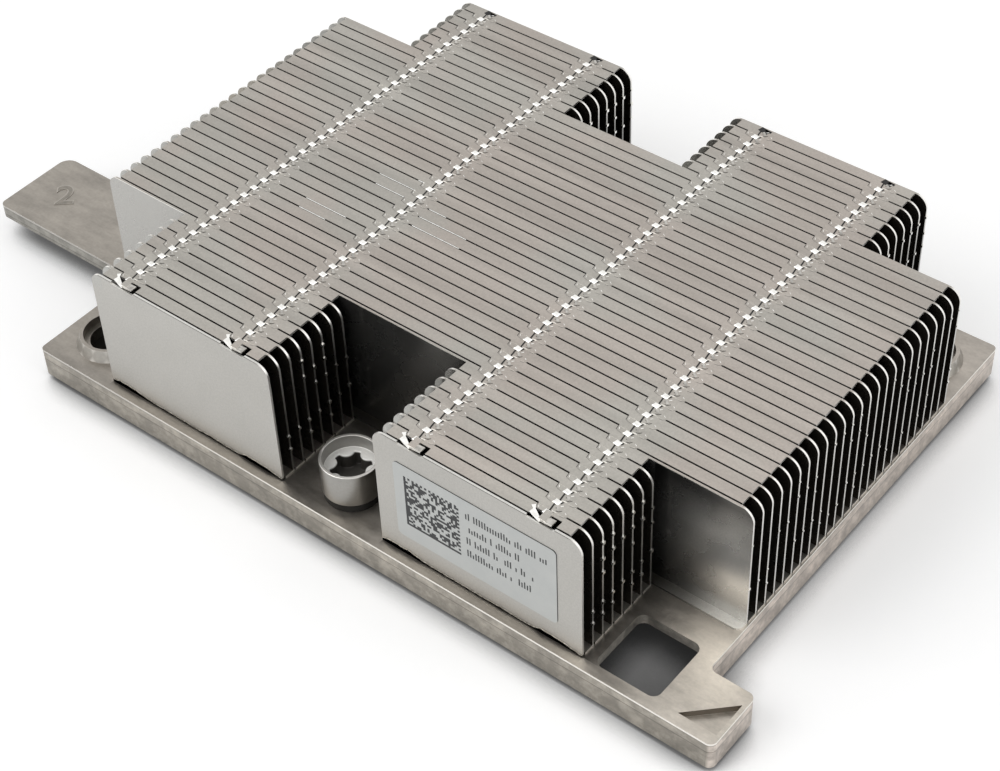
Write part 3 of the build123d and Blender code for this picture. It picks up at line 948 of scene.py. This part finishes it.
# Slits that catch the light: station, left end and right end in mm
SLIT_GLINTS = (
    (20, -22.9, -16.6),
    (19, -21.9, -16.9),
    (21, -17.6, -16.6),
    (15, -27.6, -20.5),
    (14, -27.1, -22.5),
    (19, -12.3, -9.5),
    (18, -12.4, -4.4),
    (17, -12.0, -4.0),
)
GLINT_WIDTH = 0.13 * MM

# Open rear end of each zipper
REAR_PATHS = (
    (((-0.4, 1.3), (0.25, 1.15)), 0.95),
    (((0.2, 1.45), (0.75, 1.4)), 0.45),
)


def make_zipper_marks(dark, shallow, faint, bright, satin):
    """Marks of the folded hooks: gaps, cuts and seams painted dark as shade, bent wings, and
    painted highlights on bright edges.

    The open rear end of each zipper, painted dark as shade, and the slits with painted glints are
    pieces of their own.
    """
    kinds = (
        ("zipper_gaps", dark, DEEP_PATHS, 0.03 * MM),
        ("zipper_cuts", shallow, SHALLOW_PATHS, 0.015 * MM),
        ("zipper_seams", faint, FAINT_PATHS, 0.01 * MM),
        ("zipper_wings", satin, WING_PATHS, 0.04 * MM),
        ("zipper_edge_highlights", bright, HIGHLIGHT_PATHS, 0.05 * MM),
    )
    for name, material, paths, rise in kinds:
        bm = bmesh.new()
        for centre in ZIPPER_ROWS:
            for station in range(2, FIN_COUNT):
                for points, width in paths:
                    add_path(bm, centre, slit_place(station), points, width, rise)
        settle(bm, name, material)
    bm = bmesh.new()
    for centre in ZIPPER_ROWS:
        for points, width in REAR_PATHS:
            add_path(bm, centre, slit_place(FIN_COUNT - 1), points, width)
    settle(bm, "zipper_rear_openings", dark)
    bm = bmesh.new()
    for station, left, right in SLIT_GLINTS:
        level = slit_place(station)
        add_line(bm, (left * MM, level), (right * MM, level), GLINT_WIDTH)
    settle(bm, "slit_glints", bright)


def make_zipper_beads(bright):
    """The bent hooks: a bright rounded bead over each fin but the last, with none behind it."""
    beads = bmesh.new()
    skew = Matrix.Rotation(BEAD_SKEW, 3, "Z")
    for centre in ZIPPER_ROWS:
        for station in range(1, FIN_COUNT - 1):
            top = FIN_TOP + BEAD_RISE - BEAD_SIZE.z / 2
            place = Vector((centre, slit_place(station), top)) + BEAD_PLACE
            made = add_block(beads, place, BEAD_SIZE, skew)
            upper = [v for v in made if v.co.z > top]
            rim = {e for v in upper for e in v.link_edges if e.other_vert(v) in upper}
            ease(beads, list(rim), BEAD_EDGE, EASE_STEPS)
    settle(beads, "zipper_beads", bright)


# Folded leaf at the front of each zipper: (x, y, z) in mm from its centre, the slit and the top
LUG_OUTLINE = (
    (-2.45, 1.16, 0.06),
    (-1.95, 0.79, 0.05),
    (-2.0, 0.12, 0.04),
    (-0.3, -0.24, -0.3),
    (-0.13, -0.15, -0.1),
    (-0.59, 0.24, 0.08),
    (-1.66, 0.93, 0.1),
    (-2.03, 1.53, 0.08),
)
LUG_THICKNESS = 0.08 * MM
TONGUE_PLACE = Vector((0.62, 0.34, 0.02)) * MM
TONGUE_SIZE = Vector((1.75, 1.05, 0.24)) * MM
TONGUE_TILT = math.radians(-4)
TONGUE_EDGE = 0.1 * MM
TONGUE_EDGE_STEPS = 3


def make_front_lugs(bright, satin):
    """Folded leaf and flat tongue over the open front end of each zipper."""
    lugs = bmesh.new()
    tongues = bmesh.new()
    slit = slit_place(1)
    for centre in ZIPPER_ROWS:
        corners = [(centre + x * MM, slit + y * MM, FIN_TOP + z * MM) for x, y, z in LUG_OUTLINE]
        face = lugs.faces.new([lugs.verts.new(c) for c in corners])
        grown = bmesh.ops.extrude_face_region(lugs, geom=[face])["geom"]
        raised = [v for v in grown if isinstance(v, bmesh.types.BMVert)]
        bmesh.ops.translate(lugs, vec=(0, 0, LUG_THICKNESS), verts=raised)
        middle = Vector((centre, slit, FIN_TOP)) + TONGUE_PLACE
        made = add_block(tongues, middle, TONGUE_SIZE, Matrix.Rotation(TONGUE_TILT, 3, "Y"))
        rim = {e for v in made for e in v.link_edges if all(w.co.z > middle.z for w in e.verts)}
        ease(tongues, list(rim), TONGUE_EDGE, TONGUE_EDGE_STEPS)
    bmesh.ops.recalc_face_normals(lugs, faces=lugs.faces)
    settle(lugs, "front_lugs", bright)
    settle(tongues, "front_tongues", satin)


def foot_height(share):
    """Height of the gap under a cover, at a share of the way along it."""
    for index in range(1, len(FOOT_KNOTS)):
        if share <= FOOT_KNOTS[index]:
            start, end = FOOT_KNOTS[index - 1], FOOT_KNOTS[index]
            low, high = FOOT_HEIGHTS[index - 1], FOOT_HEIGHTS[index]
            return (low + (high - low) * (share - start) / (end - start)) * MM
    return FOOT_HEIGHTS[-1] * MM


def make_cover_feet(light, dark):
    """Uneven gap under each cover, painted as a dark strip of shade, below the curled lower edge of
    its sheet.
    """
    chance = random.Random(FOOT_SEED)
    curls = bmesh.new()
    gaps = bmesh.new()
    for left, right in ((-BLOCK_OUTER, -BLOCK_INNER), (BLOCK_INNER, BLOCK_OUTER)):
        step = (right - left) / FOOT_STEPS
        last = None
        for index in range(FOOT_STEPS + 1):
            x = left + index * step
            height = foot_height(index / FOOT_STEPS) + chance.uniform(-FOOT_JITTER, FOOT_JITTER)
            face = FIRST_FACE - FOOT_RISE
            gap_face = FIRST_FACE - GAP_RISE
            spots = {
                "curl": ((x, face, height), (x, face + FOOT_LEAN, height + FOOT_BAND)),
                "gap": ((x, gap_face, 0.0), (x, gap_face, height)),
            }
            made = {}
            for kind, target in (("curl", curls), ("gap", gaps)):
                low, high = spots[kind]
                made[kind] = [target.verts.new((p[0], p[1], BASE_TOP + p[2])) for p in (low, high)]
                if last:
                    target.faces.new((last[kind][0], made[kind][0], made[kind][1], last[kind][1]))
            last = made
    bmesh.ops.solidify(curls, geom=curls.faces[:], thickness=CURL_THICKNESS)
    bmesh.ops.solidify(gaps, geom=gaps.faces[:], thickness=GAP_THICKNESS)
    settle(curls, "cover_lower_edges", light)
    settle(gaps, "cover_lower_gaps", dark)


def make_tab_mark(edge, face):
    """A raised cavity number in the casting of the long tab: a painted highlight on its edge round
    a face painted darker as shade.
    """
    for name, material, grown, rise in (
        ("tab_mark_lit_edge", edge, TAB_MARK_EDGE, TAB_MARK_RISE),
        ("tab_mark_shaded_face", face, 0.0, TAB_MARK_LIFT * TAB_MARK_RISE),
    ):
        curve = bpy.data.curves.new(name + "_outline", "FONT")
        curve.body = TAB_MARK
        curve.size = TAB_MARK_SIZE
        curve.offset = grown
        curve.extrude = rise
        curve.align_x = "CENTER"
        curve.align_y = "CENTER"
        outline = bpy.data.objects.new(name + "_outline", curve)
        bpy.context.scene.collection.objects.link(outline)
        mesh = bpy.data.meshes.new_from_object(outline)
        bpy.data.objects.remove(outline)
        bm = bmesh.new()
        bm.from_mesh(mesh)
        turn = Matrix.Rotation(TAB_MARK_TURN, 3, "Z")
        bmesh.ops.rotate(bm, cent=(0, 0, 0), matrix=turn, verts=bm.verts)
        bmesh.ops.translate(bm, vec=TAB_MARK_PLACE + Vector((0, 0, BASE_TOP)), verts=bm.verts)
        settle(bm, name, material)


def rounded_plate(bm, centre, size):
    """An upright plate along X with rounded corners."""
    made = add_block(bm, centre, size)
    edges = {e for v in made for e in v.link_edges}
    across = [e for e in edges if abs(e.verts[0].co.y - e.verts[1].co.y) > size.y / 2]
    ease(bm, across, LABEL_CORNER, LABEL_CORNER_STEPS)


def make_label():
    """Label film with rounded corners, a painted shadow along its top and right edges, and a
    made-up print: a block of cells and four rows.
    """
    low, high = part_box("label")
    size = high - low
    film = bmesh.new()
    rounded_plate(film, (low + high) / 2, size)
    settle(film, "dressed_label", film_material(), "label")

    # Painted shadow of the film's edge along its top and right, in the ink's black
    shade = bmesh.new()
    shade_size = Vector((size.x, size.y / 2, size.z))
    middle = (low + high) / 2 + Vector((SHADOW_SHIFT, size.y / 4, SHADOW_SHIFT))
    rounded_plate(shade, middle, shade_size)
    ink_and_edge_shadow = ink_material()
    settle(shade, "label_edge_shade", ink_and_edge_shadow)

    face = low.y - PRINT_THICKNESS / 2
    ink = bmesh.new()

    def print_box(left, top, width, height):
        centre = Vector((low.x + left + width / 2, face, high.z - top - height / 2))
        add_block(ink, centre, Vector((width, PRINT_THICKNESS, height)))

    chance = random.Random(CODE_SEED)
    cell = CODE_SIDE / CODE_CELLS
    for row in range(CODE_CELLS):
        for column in range(CODE_CELLS):
            on_edge = column == 0 or row == CODE_CELLS - 1
            top_dash = row == 0 and column % 2 == 0
            side_dash = column == CODE_CELLS - 1 and row % 2 == 1
            on_clock = top_dash or side_dash
            inner = 0 < row and column < CODE_CELLS - 1
            if on_edge or on_clock or (inner and chance.random() < CODE_SHARE):
                print_box(CODE_LEFT + column * cell, CODE_TOP + row * cell, cell, cell)

    for top, length in zip(TEXT_TOPS, TEXT_LENGTHS):
        for index in range(int(length / BAR_STEP)):
            if chance.random() < BAR_SHARE:
                height = TEXT_HEIGHT * chance.choice(BAR_HEIGHTS)
                left = TEXT_LEFT + index * BAR_STEP
                print_box(left, top + TEXT_HEIGHT - height, STROKE, height)
    settle(ink, "label_print", ink_and_edge_shadow)


def seen_rays(recipe):
    """1 for rays that show a surface, straight or mirrored, and 0 for those that light one."""
    rays = recipe.node("LightPath").outputs
    seen = recipe.larger(rays["Is Camera Ray"], rays["Is Glossy Ray"])
    return recipe.larger(seen, rays["Is Transmission Ray"])


def floor_material():
    """Pale paper, with painted shade close to the object and painted shadow under the base."""
    material, recipe, shader, place = new_material("floor_paper")
    shade = recipe.noise(place, scale=6.0, detail=2.0)
    colour = recipe.mix(shade, grey(0.86), grey(0.9))
    hollow = recipe.node("AmbientOcclusion")
    hollow.inputs["Distance"].default_value = FLOOR_SHADE_REACH
    openness = recipe.ramp(hollow.outputs["AO"], 0.4, 0.75, to_low=0.2, to_high=1.0)
    # Painted shadow on the floor under the base
    x, y = recipe.split(place)[:2]
    under_x = recipe.ramp(recipe.size(x), WIDE_END, WIDE_END - FLOOR_SHADE_BLUR)
    under_y = recipe.ramp(recipe.size(y), base_high.y, base_high.y - FLOOR_SHADE_BLUR)
    under = recipe.times(under_x, under_y)
    openness = recipe.times(openness, recipe.ramp(under, 0.0, 1.0, to_low=1.0, to_high=0.25))
    recipe.feed(shader.inputs["Base Color"], recipe.tint(colour, openness))
    shader.inputs["Roughness"].default_value = 0.9
    shader.inputs["Specular IOR Level"].default_value = 0.1
    shader.inputs["Emission Color"].default_value = WHITE
    glow = recipe.times(seen_rays(recipe), FLOOR_GLOW, openness)
    recipe.feed(shader.inputs["Emission Strength"], glow)
    return material


def make_floor():
    """Pale floor that keeps the object's soft shadow and shows white to the camera."""
    bm = bmesh.new()
    bmesh.ops.create_grid(bm, x_segments=1, y_segments=1, size=FLOOR_SIZE)
    mesh = bpy.data.meshes.new("floor")
    bm.to_mesh(mesh)
    bm.free()
    floor = bpy.data.objects.new("floor", mesh)
    bpy.context.scene.collection.objects.link(floor)
    mesh.materials.append(floor_material())


def make_world():
    """Even soft surround: a plain level for the object, white where it is seen or mirrored."""
    world = bpy.data.worlds.new("studio")
    bpy.context.scene.world = world
    world.use_nodes = True
    world.node_tree.nodes.clear()
    recipe = Recipe(world.node_tree)
    background = recipe.node("Background")
    background.inputs["Color"].default_value = WHITE
    strength = recipe.ramp(seen_rays(recipe), 0.0, 1.0, to_low=SURROUND_LEVEL, to_high=1.0)
    recipe.feed(background.inputs["Strength"], strength)
    output = recipe.node("OutputWorld")
    recipe.feed(output.inputs["Surface"], background.outputs[0])


def add_lamp(name, place, size, power):
    """A square soft lamp that faces the middle of the heatsink."""
    lamp = bpy.data.lights.new(name, "AREA")
    lamp.shape = "SQUARE"
    lamp.size = size
    lamp.energy = power
    holder = bpy.data.objects.new(name, lamp)
    holder.location = place
    holder.rotation_euler = (-Vector(place)).to_track_quat("-Z", "Y").to_euler()
    bpy.context.scene.collection.objects.link(holder)


def make_camera():
    """Camera that was fitted to the photo."""
    lens = bpy.data.cameras.new("camera")
    lens.lens = CAMERA_LENS
    lens.sensor_width = SENSOR_WIDTH
    lens.clip_start = CLIP_START
    holder = bpy.data.objects.new("camera", lens)
    bpy.context.scene.collection.objects.link(holder)
    forward = CAMERA_FORWARD.normalized()
    level_right = forward.cross(Vector((0, 0, 1))).normalized()
    level_up = level_right.cross(forward)
    right = level_right * math.cos(CAMERA_ROLL) + level_up * math.sin(CAMERA_ROLL)
    up = right.cross(forward)
    turn = Matrix((right, up, -forward)).transposed().to_4x4()
    holder.matrix_world = Matrix.Translation(CAMERA_PLACE) @ turn
    bpy.context.scene.camera = holder


make_camera()
make_world()
make_floor()
for lamp_name, lamp_values in LAMPS.items():
    add_lamp(lamp_name, *lamp_values)

make_fins()
dress_node(
    "base_plate",
    "dressed_base",
    casting_material(),
    BASE_SHARP_ANGLE,
    BASE_EDGE,
    LONG_EDGE,
)
make_tab_mark(
    bent_metal_material(
        "tab_mark_lit_edge", (0.38, 0.355, 0.32, 1), (0.46, 0.43, 0.385, 1), roughness=0.35
    ),
    bent_metal_material(
        "tab_mark_shaded_face", (0.23, 0.215, 0.19, 1), (0.31, 0.285, 0.25, 1), roughness=0.4
    ),
)
for node, name, material, slot in (
    ("captive_nuts", "dressed_nuts", nut_material(), "nut_steel"),
    ("retaining_washers", "dressed_washers", washer_material(), "washer_black"),
):
    dress_node(node, name, material, NUT_SHARP_ANGLE, NUT_EDGE)
make_label()
# Bright bent metal, also the colour of the painted highlights on the hooks' edges and the slits'
# glints
bright_sheet_and_highlight = bent_metal_material(
    "bent_sheet_bright", (0.85, 0.84, 0.8, 1), (1.0, 0.99, 0.96, 1), roughness=0.2
)
satin_bend = bent_metal_material(
    "bent_sheet_satin", (0.36, 0.345, 0.32, 1), (0.6, 0.58, 0.54, 1), roughness=0.3
)
deep_gap_shade = gap_shade_material("deep_gap_shade", low=0.004, high=0.012)
make_zipper_beads(bright_sheet_and_highlight)
make_zipper_marks(
    deep_gap_shade,
    gap_shade_material("shallow_cut", low=0.03, high=0.06),
    gap_shade_material("faint_seam", low=0.16, high=0.24),
    bright_sheet_and_highlight,
    satin_bend,
)
make_front_lugs(bright_sheet_and_highlight, satin_bend)
make_cover_feet(bright_sheet_and_highlight, deep_gap_shade)
make_nibs(bright_sheet_and_highlight)

scene = bpy.context.scene
scene.view_settings.view_transform = "Standard"
